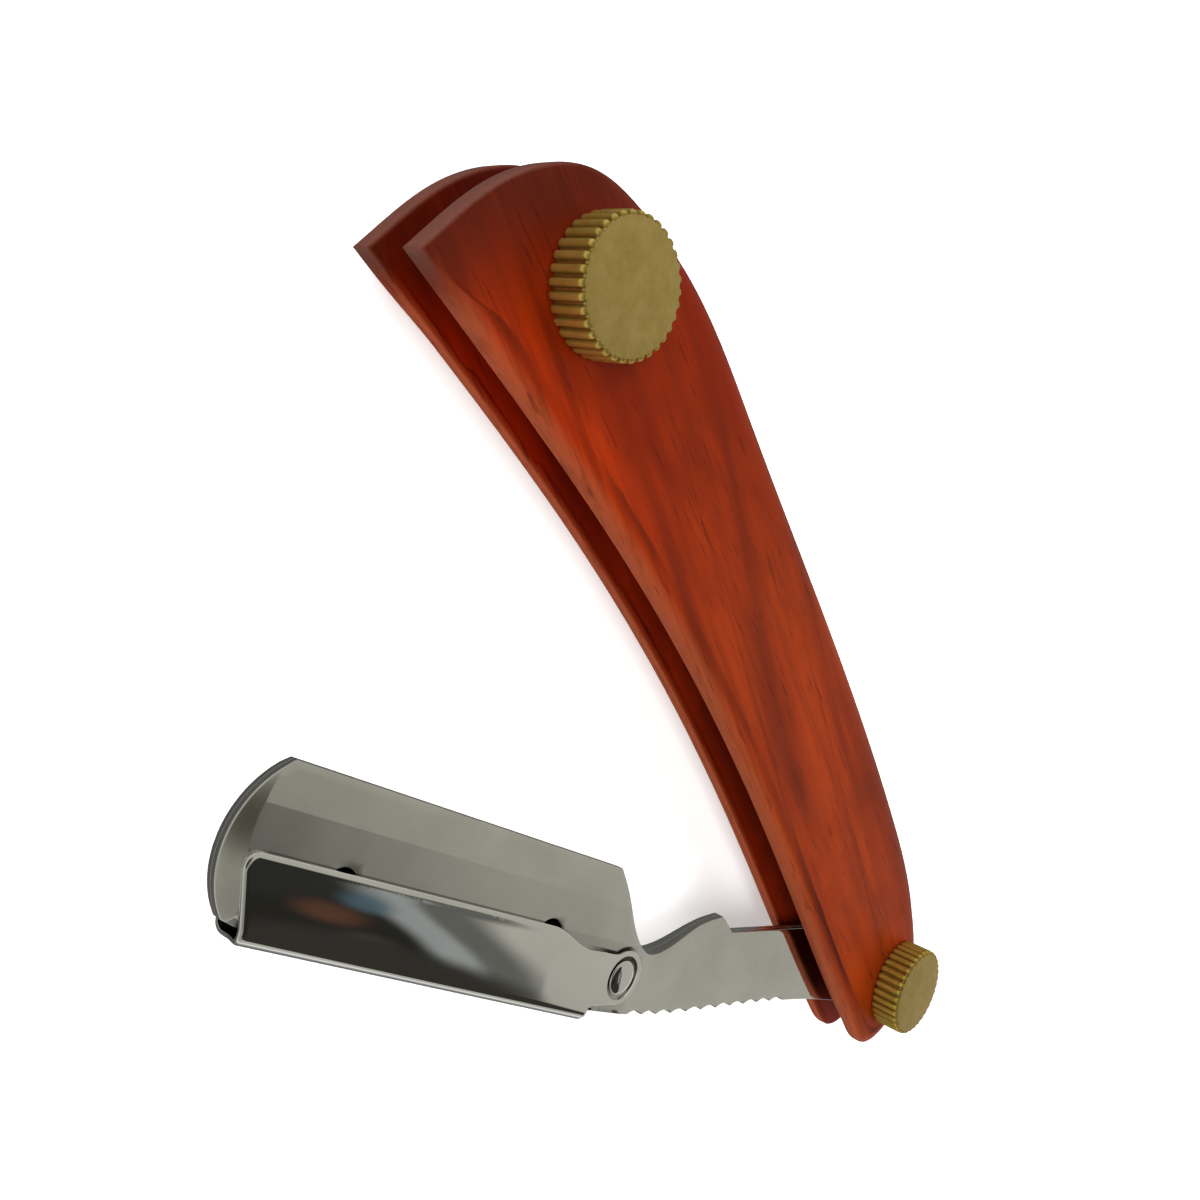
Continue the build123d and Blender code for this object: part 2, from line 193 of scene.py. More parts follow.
# ---- Softened edges on the pieces that keep their CAD shape ----
EDGE_WIDTHS = {"blade_pin": 0.12, "stud": 0.15, "washer": 0.12, "spacer": 0.2}  # mm
WELD_DISTANCE = 2e-6
FLAT_ANGLE = math.radians(0.4)
EASED_ANGLE = math.radians(28)
SHARP_ANGLE = math.radians(33)

# ---- Mesh ----
EDGE_REACH = "edge_reach"  # attribute: how far in from the outline a point is, in mm
FACE_REACH = 10.0  # its value on the flat faces
LATHE_SHARP_ANGLE = math.radians(42)
SPLINE_STEPS = 60
DOUBLED = 0.02  # points of an outline closer than this are one, mm
LINE_ROOM = 0.12  # crease points keep this far from an outline, mm


# ================ outlines
def spline(points, start=None, end=None, step=0.35):
    """Smooth cubic through the points, with the end directions that are given, evenly spaced."""
    p = np.array(points, float)
    h = np.linalg.norm(np.diff(p, axis=0), axis=1)
    last = len(p) - 1
    matrix, right = np.zeros((last + 1, last + 1)), np.zeros((last + 1, 2))
    for i in range(1, last):
        matrix[i, i - 1 : i + 2] = 1 / h[i - 1], 2 / h[i - 1] + 2 / h[i], 1 / h[i]
        right[i] = 3 * ((p[i] - p[i - 1]) / h[i - 1] ** 2 + (p[i + 1] - p[i]) / h[i] ** 2)
    for i, j, direction in ((0, 1, start), (last, last - 1, end)):
        if direction is None:
            matrix[i, i], matrix[i, j] = 2.0, 1.0
            right[i] = 3 * (p[max(i, j)] - p[min(i, j)]) / h[min(i, j)]
        else:
            matrix[i, i] = 1.0
            right[i] = np.array(direction) / np.linalg.norm(direction)
    slope = np.linalg.solve(matrix, right)
    t = np.linspace(0, 1, SPLINE_STEPS, endpoint=False)[:, None]
    value, tangent = 3 * t**2 - 2 * t**3, t * (1 - t)
    runs = [
        (1 - value) * p[i] + value * p[i + 1] + h[i] * tangent * ((1 - t) * slope[i] - t * slope[i + 1])
        for i in range(last)
    ]
    return spaced(np.vstack([*runs, p[-1:]]), step)


def spaced(points, step=0.35):
    """Evenly spaced points along a line."""
    points = np.array(points, float)
    run = np.concatenate([[0], np.cumsum(np.linalg.norm(np.diff(points, axis=0), axis=1))])
    at = np.linspace(0, run[-1], max(2, round(run[-1] / step) + 1))
    return np.stack([np.interp(at, run, points[:, k]) for k in (0, 1)], axis=1)


def polyline(*points, step=0.35):
    """Straight stretches that keep their corners."""
    runs = [spaced(pair, step)[:-1] for pair in zip(points, points[1:])]
    return np.vstack([*runs, [points[-1]]])


def arc(centre, radius, start, end, step=0.25):
    """Points on an arc between two angles."""
    angles = np.linspace(start, end, max(3, round(abs(end - start) * radius / step) + 1))
    return np.array(centre) + radius * np.stack([np.cos(angles), np.sin(angles)], axis=1)


def circle(centre, radius, count=48):
    """Closed circle that runs clockwise, as the edge of a hole."""
    return arc(centre, radius, 0, -2 * math.pi * (1 - 1 / count), 2 * math.pi * radius / count)


def circle_through(a, b, c):
    """Centre and radius of the circle through three points."""
    (ax, ay), (bx, by), (cx, cy) = a, b, c
    d = 2 * (ax * (by - cy) + bx * (cy - ay) + cx * (ay - by))
    a2, b2, c2 = ax * ax + ay * ay, bx * bx + by * by, cx * cx + cy * cy
    x = (a2 * (by - cy) + b2 * (cy - ay) + c2 * (ay - by)) / d
    y = (a2 * (cx - bx) + b2 * (ax - cx) + c2 * (bx - ax)) / d
    return (x, y), math.hypot(ax - x, ay - y)


def three_point_arc(a, b, c):
    """Arc from a through b to c."""
    (x, y), radius = circle_through(a, b, c)
    first, middle, last = (math.atan2(py - y, px - x) for px, py in (a, b, c))
    turn = (last - first) % (2 * math.pi)
    if (middle - first) % (2 * math.pi) > turn:
        turn -= 2 * math.pi
    return arc((x, y), radius, first, first + turn, 0.15)


def loop(*stretches):
    """Joins stretches into one closed anticlockwise outline without doubled points."""
    points = np.vstack(stretches)
    points = points[np.linalg.norm(points - np.roll(points, 1, axis=0), axis=1) > DOUBLED]
    x, y = points.T
    return points if np.sum(x * np.roll(y, -1) - np.roll(x, -1) * y) > 0 else points[::-1]


def inset(outline, distances):
    """The outline moved to its left, into the material, by a distance at each point."""
    before = outline - np.roll(outline, 1, axis=0)
    after = np.roll(outline, -1, axis=0) - outline
    before /= np.linalg.norm(before, axis=1)[:, None]
    after /= np.linalg.norm(after, axis=1)[:, None]
    middle = before + after
    middle /= np.linalg.norm(middle, axis=1)[:, None] + 1e-9
    stretch = 1 / np.clip(np.sum(middle * after, axis=1), 0.5, 1)
    left = np.stack([-middle[:, 1], middle[:, 0]], axis=1)
    return outline + left * (distances * stretch)[:, None]


def inside(points, outline):
    """Which points lie inside a closed outline."""
    x, y = points[:, 0][:, None], points[:, 1][:, None]
    x1, y1 = outline.T
    x2, y2 = np.roll(x1, -1), np.roll(y1, -1)
    rise = np.where(y2 == y1, 1e-12, y2 - y1)
    crossing = (x2 - x1) * (y - y1) / rise + x1
    return (np.sum(((y1 > y) != (y2 > y)) & (x < crossing), axis=1) % 2) == 1


def in_area(points, rings):
    """Which points lie inside the first ring and outside the rest."""
    keep = inside(points, rings[0])
    for ring in rings[1:]:
        keep &= ~inside(points, ring)
    return keep


def clear_of(points, others, room):
    """Which points are further than the room from all the others."""
    return np.array([np.min(np.sum((others - q) ** 2, axis=1)) > room**2 for q in points], bool)


def fill(rings, spacing, lines=()):
    """Triangles over the area inside the first ring and outside the rest, with edges along the lines.
    Returns all points, the rings' own first and then the lines', the triangles' indices, and how many
    points the lines have."""
    border = np.vstack(rings)
    low, high = rings[0].min(0), rings[0].max(0)
    across = [np.arange(low[k] + spacing[k] / 2, high[k], spacing[k]) for k in (0, 1)]
    grid = np.stack(np.meshgrid(*across), axis=-1).reshape(-1, 2)
    grid = grid[in_area(grid, rings)]
    edges, start = [], 0
    for ring in rings:
        edges += [(start + i, start + (i + 1) % len(ring)) for i in range(len(ring))]
        start += len(ring)
    on_lines = []
    for line in lines:
        keep = in_area(line, rings) & clear_of(line, border, LINE_ROOM)
        ids = np.cumsum(keep) - 1 + start + len(on_lines)
        edges += [(ids[i], ids[i + 1]) for i in range(len(line) - 1) if keep[i] and keep[i + 1]]
        on_lines += list(line[keep])
    fixed = np.vstack([border, *([on_lines] if on_lines else [])])
    points = np.vstack([fixed, grid[clear_of(grid, fixed, 0.45 * min(spacing))]])
    made, _, faces, origin, _, _ = delaunay_2d_cdt([Vector(p) for p in points], edges, [], 0, 1e-6)
    made, source = np.array(made), []
    crossings = []  # points that only the triangulation knows, where lines cross
    for point, group in zip(made, origin):
        source.append(group[0] if group else len(points) + len(crossings))
        if not group:
            crossings.append(point)
    points = np.vstack([points, *crossings])
    centres = np.array([made[list(face)].mean(0) for face in faces])
    keep = in_area(centres, rings)
    triangles = [tuple(source[i] for i in face) for face, kept in zip(faces, keep) if kept]
    return points, triangles, len(on_lines)


# ================ meshes
def new_piece(name, points, faces, sharp=None, crisp=()):
    """Smooth mesh object from points in mm, crisp over the sharp angle and between the crisp points."""
    mesh = bpy.data.meshes.new(name)
    mesh.from_pydata([tuple(float(x) * MM for x in p) for p in points], [], faces)
    mesh.validate()
    shape = bmesh.new()
    shape.from_mesh(mesh)
    bmesh.ops.recalc_face_normals(shape, faces=shape.faces)
    shape.to_mesh(mesh)
    shape.free()
    mesh.shade_smooth()
    if sharp is not None:
        mesh.set_sharp_from_angle(angle=sharp)
    crisp = set(crisp)
    for edge in mesh.edges if crisp else ():
        edge.use_edge_sharp = edge.use_edge_sharp or crisp.issuperset(edge.vertices)
    piece = bpy.data.objects.new(name, mesh)
    bpy.context.scene.collection.objects.link(piece)
    return piece


def in_holder(piece):
    """Moves a piece from the holder's own frame to its place."""
    piece.data.transform(Matrix.Translation((0, 0, Z_MIDDLE * MM)) @ Matrix.Rotation(HOLDER_TURN, 4, "Z"))
    return piece


def bands(starts, count):
    """Quads between rings of equal length, each ring given by its first index."""
    faces = []
    for low, high in zip(starts, starts[1:]):
        for i in range(count):
            j = (i + 1) % count
            faces.append((low + i, low + j, high + j, high + i))
    return faces


def rounding(rim, steps):
    """Inset and drop from the wall's start to the face, for a rounding of a width and a depth."""
    turns = np.linspace(0, math.pi / 2, steps)
    return [(rim[0] * (1 - math.cos(a)), rim[1] * (1 - math.sin(a))) for a in turns]


def slab(name, rings, low, high, low_rims, high_rims, spacing, lines=((), ()), steps=7):
    """Flat piece between two surfaces, low(x, y) and high(x, y), with rounded edges.
    Each ring has the width and depth of its rounding at each surface, and each surface its creases."""
    points, faces, ends, depth = [], [], [[], []], []
    for ring, low_rim, high_rim in zip(rings, low_rims, high_rims):
        start, count = len(points), len(ring)
        profile = [(1, low, share, drop) for share, drop in rounding(low_rim, steps)[::-1]]
        profile += [(-1, high, share, drop) for share, drop in rounding(high_rim, steps)]
        for sign, surface, share, drop in profile:
            moved = inset(ring, np.broadcast_to(share, count))
            points += [(x, y, z) for (x, y), z in zip(moved, surface(*moved.T) + sign * drop)]
            depth += [share] * count if np.ndim(share) == 0 else list(share)
        starts = [start + k * count for k in range(len(profile))]
        faces += bands(starts, count)
        for end, first in zip(ends, (starts[0], starts[-1])):
            end.append(range(first, first + count))
    crisp = []
    for surface, ids, creases in ((low, ends[0], lines[0]), (high, ends[1], lines[1])):
        flat = [np.array([points[i][:2] for i in ring]) for ring in ids]
        area, triangles, on_lines = fill(flat, spacing, creases)
        border = sum(len(ring) for ring in ids)
        index = [i for ring in ids for i in ring]
        index += range(len(points), len(points) + len(area) - border)
        crisp += index[border : border + on_lines]
        new = area[border:]
        points += [(x, y, z) for (x, y), z in zip(new, surface(*new.T))]
        faces += [tuple(index[i] for i in triangle) for triangle in triangles]
    piece = new_piece(name, points, faces, crisp=crisp)
    reach = piece.data.attributes.new(EDGE_REACH, "FLOAT", "POINT")
    depth += [FACE_REACH] * (len(points) - len(depth))
    reach.data.foreach_set("value", np.array(depth, np.float32))
    return piece


def level(z):
    """A flat surface at a height."""
    return lambda x, y: np.full(len(x), float(z))


def lathe(name, profile, count, radial=None):
    """Closed solid of revolution about Z from (radius, z) points that start and end on the axis.
    radial(radii, angles, z) may change the radii of a ring."""
    angles = np.linspace(0, 2 * math.pi, count, endpoint=False)
    points, faces = [(0, 0, profile[0][1]), (0, 0, profile[-1][1])], []
    for r, z in profile[1:-1]:
        radii = np.full(count, float(r)) if radial is None else radial(r, angles, z)
        points += [(a, b, z) for a, b in zip(radii * np.cos(angles), radii * np.sin(angles))]
    starts = [2 + k * count for k in range(len(profile) - 2)]
    faces += bands(starts, count)
    first, last = starts[0], starts[-1]
    for i in range(count):
        j = (i + 1) % count
        faces += [(0, first + j, first + i), (1, last + i, last + j)]
    return new_piece(name, points, faces, sharp=LATHE_SHARP_ANGLE)


def soften(node, width):
    """A copy of a CAD node's shape with its edges eased."""
    mesh = frame["nodes"][node].data.copy()
    mesh.shade_smooth()
    piece = bpy.data.objects.new(node + "_finish", mesh)
    bpy.context.scene.collection.objects.link(piece)
    weld = piece.modifiers.new("weld", "WELD")
    weld.merge_threshold = WELD_DISTANCE
    planar = piece.modifiers.new("planar", "DECIMATE")
    planar.decimate_type = "DISSOLVE"
    planar.angle_limit = FLAT_ANGLE
    ease = piece.modifiers.new("ease", "BEVEL")
    ease.width = width * MM
    ease.segments = 2
    ease.limit_method = "ANGLE"
    ease.angle_limit = EASED_ANGLE
    ease.harden_normals = True
    ease.use_clamp_overlap = True
    bpy.context.view_layer.update()
    done = bpy.data.meshes.new_from_object(piece.evaluated_get(bpy.context.evaluated_depsgraph_get()))
    piece.modifiers.clear()
    piece.data = done
    done.shade_smooth()
    done.set_sharp_from_angle(angle=SHARP_ANGLE)
    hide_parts(node)
    return piece


# ================ handle scales
def scale_outline():
    """Outline of both scales."""
    back_edge = [SCALE_SHOULDER, *SCALE_BACK_EDGE, SCALE_BACK_END]
    pivot_end = [SCALE_BACK_END, *SCALE_PIVOT_END, SCALE_FRONT_END]
    return loop(
        spline([SCALE_TIP, *SCALE_TOP, SCALE_SHOULDER], TIP_AWAY, SHOULDER_DOWN, 0.5),
        spline(back_edge, SHOULDER_DOWN, BACK_END_DOWN, 0.6),
        spline(pivot_end, BACK_END_DOWN, FRONT_END_UP, 0.4),
        spline([SCALE_FRONT_END, *SCALE_FRONT_EDGE, SCALE_TIP], FRONT_END_UP, TIP_UP, 0.6),
    )


def scale_rims(outline):
    """Rounding of the outer edge: wide along the sides, narrow across the top."""
    low, high = SCALE_END_FROM
    share = np.clip((outline[:, 1] - low) / (high - low), 0, 1)
    share = share * share * (3 - 2 * share)
    return [side + (end - side) * share for side, end in zip(SCALE_RIM, SCALE_END_RIM)]


def make_scale(name, z_low, z_high, outside_up):
    """A scale, rounded more on its outside."""
    outline = scale_outline()
    rings = [outline, circle((0, 0), SCALE_HOLE_R), circle((0, TOP_Y), SCALE_HOLE_R)]
    outer = [scale_rims(outline), HOLE_RIM, HOLE_RIM]
    inner = [SCALE_INNER_RIM, HOLE_RIM, HOLE_RIM]
    rims = (inner, outer) if outside_up else (outer, inner)
    return slab(name, rings, level(z_low), level(z_high), *rims, SCALE_MESH)


# ================ thumb nuts
def knurl(r, angles, z):
    """Teeth with rounded tops and narrow valleys, fading out at the end faces' rounding."""
    if r < NUT_R - NUT_ROUNDING:
        return np.full(len(angles), float(r))
    phase = np.abs(((angles * KNURL_TEETH / (2 * math.pi)) % 1.0) - 0.5) * 2
    depth = np.clip((phase - KNURL_LAND) / KNURL_LAND, 0, 1)
    crown = KNURL_CROWN * np.clip(phase / KNURL_LAND, 0, 1) ** 2
    return r - KNURL_DEPTH * (3 * depth**2 - 2 * depth**3) - crown


def make_nut(name, at, z_low, face_up):
    """Knurled thumb nut with a lightly crowned face and a blind threaded bore."""
    face = [(r, NUT_HEIGHT - drop) for r, drop in NUT_FACE]
    top = NUT_HEIGHT - NUT_FACE_EDGE
    upper = [
        (NUT_R - NUT_ROUNDING * (1 - math.sin(a)), top - NUT_ROUNDING * (1 - math.cos(a)))
        for a in np.linspace(NUT_EDGE_TURN[0], math.pi / 2, 6)
    ]
    ends = (top - NUT_ROUNDING - NUT_SIDE_MARGIN, NUT_ROUNDING + NUT_SIDE_MARGIN)
    side = [(NUT_R, z) for z in np.linspace(*ends, 4)]
    lower = [
        (NUT_R - NUT_ROUNDING * (1 - math.cos(a)), NUT_ROUNDING * (1 - math.sin(a)))
        for a in np.linspace(0, math.pi / 2 - NUT_EDGE_TURN[1], 5)
    ]
    chamfer_r, chamfer_z = NUT_BORE_CHAMFER
    mouth = [(NUT_FOOT_R, 0.0), (NUT_BORE_R + chamfer_r, 0.0), (NUT_BORE_R, chamfer_z)]
    bore = [(NUT_BORE_R, NUT_BORE_DEPTH), (0.0, NUT_BORE_DEPTH)]
    profile = (face + upper + side + lower + mouth + bore)[::-1]
    piece = lathe(name, profile, KNURL_TEETH * KNURL_SEGMENTS, knurl)
    flip = Matrix.Identity(4) if face_up else Matrix.Rotation(math.pi, 4, "X")
    base = z_low if face_up else z_low + NUT_HEIGHT
    piece.data.transform(Matrix.Translation((0, at * MM, base * MM)) @ flip)
    return piece


# ================ holder plates
NOSE_CENTRE, NOSE_R = circle_through((NOSE_X, EDGE_Y), NOSE_APEX, NOSE_SPINE)


def jimped_spine():
    """The tang's spine from head to pivot, with scoops that leave pointed crests for the thumb."""
    line = spline(TANG_SPINE, step=0.16)
    along = np.gradient(line, axis=0)
    along /= np.linalg.norm(along, axis=1)[:, None]
    run = np.concatenate([[0], np.cumsum(np.linalg.norm(np.diff(line, axis=0), axis=1))]) - JIMP_START
    scoop_r = (JIMP_PITCH**2 / 4 + JIMP_DEPTH**2) / (2 * JIMP_DEPTH)
    across = run % JIMP_PITCH - JIMP_PITCH / 2
    depth = np.sqrt(scoop_r**2 - across**2) - (scoop_r - JIMP_DEPTH)
    depth *= (run > 0) & (run < JIMP_COUNT * JIMP_PITCH)
    return line + np.stack([-along[:, 1], along[:, 0]], axis=1) * depth[:, None]


def plate_outline():
    """Outline of both plates."""
    x, y = NOSE_CENTRE
    from_spine = math.atan2(NOSE_SPINE[1] - y, NOSE_SPINE[0] - x)
    to_edge = math.atan2(EDGE_Y - y, NOSE_X - x)
    return loop(
        arc(NOSE_CENTRE, NOSE_R, from_spine, to_edge),
        polyline((NOSE_X, EDGE_Y), (HEEL_X, EDGE_Y)),
        spline([(HEEL_X, EDGE_Y), *HEEL_CURVE, BUMP_TIP], step=0.25),
        polyline(BUMP_TIP, BUMP_FOOT, TANG_EDGE),
        spline([TANG_EDGE, TANG_BELLY, (0.0, -EYE_R)], TANG_EDGE_WAY, (-1.0, 0.0)),
        arc((0, 0), EYE_R, -math.pi / 2, -3 * math.pi / 2),
        jimped_spine()[::-1],
        polyline(TANG_SPINE[0], SPINE_HEEL, SPINE_NOSE, NOSE_SPINE),
    )


def head_surface(x, y):
    """Half thickness of the holder before the nose bevel: tang, neck, head and its two long facets."""
    neck = np.interp(x, NECK, (TANG_HALF, HEAD_HALF))
    facets = np.interp(y, *zip(*FACETS))
    return np.where(x > NECK[1], np.minimum(neck, facets), neck)


def nose_bevel(x, y):
    """Half thickness that the cone round the nose leaves."""
    cx, cy = NOSE_CENTRE
    slope = (HEAD_HALF - NOSE_BEVEL_Z) / NOSE_BEVEL_WIDTH
    cone = NOSE_BEVEL_Z + (NOSE_R - np.hypot(x - cx, y - cy)) * slope
    return np.where(x > cx, cone, HEAD_HALF)


def plate_surface(x, y):
    """Outer face of a plate."""
    return np.minimum(head_surface(x, y), nose_bevel(x, y))


def bevel_line():
    """Where the nose bevel meets the head and its facets."""
    cx, cy = NOSE_CENTRE
    radii = np.linspace(NOSE_R - NOSE_BEVEL_TRACE * NOSE_BEVEL_WIDTH, NOSE_R, 300)
    points = []
    for angle in np.linspace(*NOSE_BEVEL_TURN, 90):
        x, y = cx + radii * math.cos(angle), cy + radii * math.sin(angle)
        meets = np.argmax(nose_bevel(x, y) < head_surface(x, y))
        points.append((x[meets], y[meets]))
    return np.array(points)


def plate_creases():
    """Ridges of the outer face."""
    edge_of_bevel = bevel_line()
    lines = [edge_of_bevel]
    for ridge_y, _ in FACETS[1:]:
        end = np.interp(ridge_y, edge_of_bevel[:, 1], edge_of_bevel[:, 0])
        lines.append(polyline((NECK[1], ridge_y), (end - RIDGE_GAP, ridge_y)))
    return lines + [polyline((x, -EYE_R), (x, SPINE_HEEL[1])) for x in NECK]


def plate_inside(x, y):
    """Inner face of a plate, with the blade's pocket."""
    in_pocket = (x > POCKET_X[0]) & (x < POCKET_X[1]) & (y > POCKET_Y)
    return np.where(in_pocket, POCKET_DEPTH, 0.0)


def pocket_creases():
    """Both edges of the blade pocket's step, a hair apart."""
    lines = []
    for out in (-POCKET_STEP / 2, POCKET_STEP / 2):
        low_x, high_x, low_y = POCKET_X[0] - out, POCKET_X[1] + out, POCKET_Y - out
        lines.append(polyline((low_x, POCKET_TOP), (low_x, low_y), (high_x, low_y), (high_x, POCKET_TOP)))
    return lines


def make_plate(name, pin_hole_radii, side):
    """One plate of the holder, on the front (1) or back (-1) side of the middle plane."""
    pins = [circle((x, PIN_Y), r, 40) for x, r in zip(PIN_X, pin_hole_radii)]
    rings = [plate_outline(), circle((0, 0), PIVOT_HOLE_R), circle(RIVET_AT, RIVET_SHANK_R, 32), *pins]
    rims = [[rim] * len(rings) for rim in (PLATE_INNER_RIM, PLATE_RIM)]
    creases = (pocket_creases(), plate_creases())
    piece = slab(name, rings, plate_inside, plate_surface, *rims, PLATE_MESH, creases, steps=4)
    if side < 0:
        piece.data.transform(Matrix.Scale(-1, 4, (0, 0, 1)))
        piece.data.flip_normals()
    return in_holder(piece)


# ================ clip and rivet
def fold_y(x):
    """Outside of the fold at a distance along the holder."""
    (x1, y1), (x2, y2) = CLIP_FOLD_HEEL, CLIP_FOLD_NOSE
    return y1 + (x - x1) * (y2 - y1) / (x2 - x1)


def clip_side():
    """One wall's free outline from the nose end of the fold round to its heel end."""
    x, y = RIVET_AT
    ear_top = (x + CLIP_EAR_R * math.cos(CLIP_EAR_TURN), y - CLIP_EAR_R * math.sin(CLIP_EAR_TURN))
    ear_end = (x, y + CLIP_EAR_R)
    ear_back = (x - CLIP_EAR_R, y)
    return np.vstack([
        polyline(CLIP_NOSE_BOTTOM, CLIP_NOSE_TOP, step=0.25),
        spline([CLIP_NOSE_TOP, *CLIP_NOSE_CORNER], CLIP_NOSE_DOWN, (-1, 0), 0.12),
        polyline(CLIP_NOSE_CORNER[1], (CLIP_STEP_X, CLIP_EDGE_Y), step=0.4),
        spline([(CLIP_STEP_X, CLIP_EDGE_Y), *CLIP_S_CURVE, ear_top], (-1, 0), CLIP_EAR_WAY, 0.25),
        three_point_arc(ear_top, ear_back, ear_end),
        polyline(ear_end, *CLIP_UNDERCUT, step=0.3),
    ])


def unfolded(points):
    """Side-view points on the flat pattern: along the holder, and along the sheet from the fold."""
    x, y = points.T
    return np.stack([x, fold_y(x) - CLIP_BEND_R - y + FOLD_RUN], axis=1)


def folded(x, run, depth):
    """Flat pattern to the bent sheet, at a depth below its outer surface."""
    side, run = np.sign(run), np.abs(run)
    angle = np.clip((run - FOLD_FLAT) / CLIP_BEND_R, 0, math.pi / 2)
    over = np.maximum(run - FOLD_RUN, 0)
    radius = CLIP_BEND_R - depth
    z = np.minimum(run, FOLD_FLAT) + radius * np.sin(angle)
    y = fold_y(x) - CLIP_BEND_R + radius * np.cos(angle) - over
    return np.stack([x, y, side * z], axis=1)


def clip_swell(holes):
    """Outer surface of the flat pattern: bowed walls, with seats for the rivet."""

    def surface(x, run):
        gap = np.min([np.hypot(x - hole[0], run - hole[1]) for hole in holes], axis=0)
        seat = CLIP_SEAT_DEPTH * np.clip((RIVET_SEAT_R + RIVET_SEAT_EDGE - gap) / RIVET_SEAT_EDGE, 0, 1)
        across = np.clip((np.abs(run) - FOLD_RUN) / CLIP_WALL_RUN, 0, 1)
        along = np.clip((x - CLIP_S_CURVE[-1][0]) / CLIP_BELLY_RUN, 0, 1)
        return CLIP_BELLY * np.sin(math.pi * across) * along - seat

    return surface


def make_clip():
    """Sheet clip folded over the spine, built on its flat pattern and bent round the fold."""
    side = unfolded(clip_side())
    nose = polyline((CLIP_NOSE_END_X, 0.0), tuple(side[0]), step=0.2)[:-1]
    heel = polyline(tuple(side[-1]), (CLIP_HEEL_X, 0.0), step=0.2)[1:]
    half = np.vstack([nose, side, heel])
    outline = loop(half, (half * (1, -1))[::-1][1:-1])
    x_hole, run_hole = unfolded(np.array([RIVET_AT]))[0]
    holes = [np.array((x_hole, run_hole)), np.array((x_hole, -run_hole))]
    rings = [outline, *(circle(hole, RIVET_SHANK_R, 36) for hole in holes)]
    rim = [np.interp(outline[:, 0], *zip(*part)) for part in CLIP_RIM]
    seats = [circle(hole, RIVET_SEAT_R + step, 60) for hole in holes for step in (0.0, RIVET_SEAT_EDGE)]
    creases = [np.vstack([seat, seat[:1]]) for seat in seats]
    inner_rims, outer_rims = [CLIP_INNER_RIM] * 3, [rim, HOLE_RIM, HOLE_RIM]
    flat = (level(-CLIP_WALL), clip_swell(holes))
    piece = slab("clip_finish", rings, *flat, inner_rims, outer_rims, CLIP_MESH, ((), creases), steps=6)
    points = np.array([v.co for v in piece.data.vertices]) / MM
    bent = folded(points[:, 0], points[:, 1], -points[:, 2]) * MM
    piece.data.vertices.foreach_set("co", bent.ravel())
    piece.data.update()
    return in_holder(piece)


def make_rivet():
    """Rivet with a low dome at each side, set in the clip's ears."""
    seat = CLIP_HALF - CLIP_SEAT_DEPTH
    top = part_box("clip_rivet")[1].z / MM - Z_MIDDLE
    edge = seat + RIVET_HEAD_EDGE
    turns = np.linspace(0, math.pi / 2, 10)
    dome = [(RIVET_HEAD_R * math.sin(a), edge + (top - edge) * math.cos(a)) for a in turns]
    under = [(RIVET_HEAD_R - inset_r, seat + rise) for inset_r, rise in RIVET_HEAD_FOOT]
    shank = [(RIVET_SHANK_R, seat), (RIVET_SHANK_R, RIVET_SHANK_Z)]
    upper = dome + under + shank
    profile = [(r, -z) for r, z in upper] + upper[::-1]
    piece = lathe("rivet_finish", profile, 64)
    piece.data.transform(Matrix.Translation((RIVET_AT[0] * MM, RIVET_AT[1] * MM, 0)))
    return in_holder(piece)


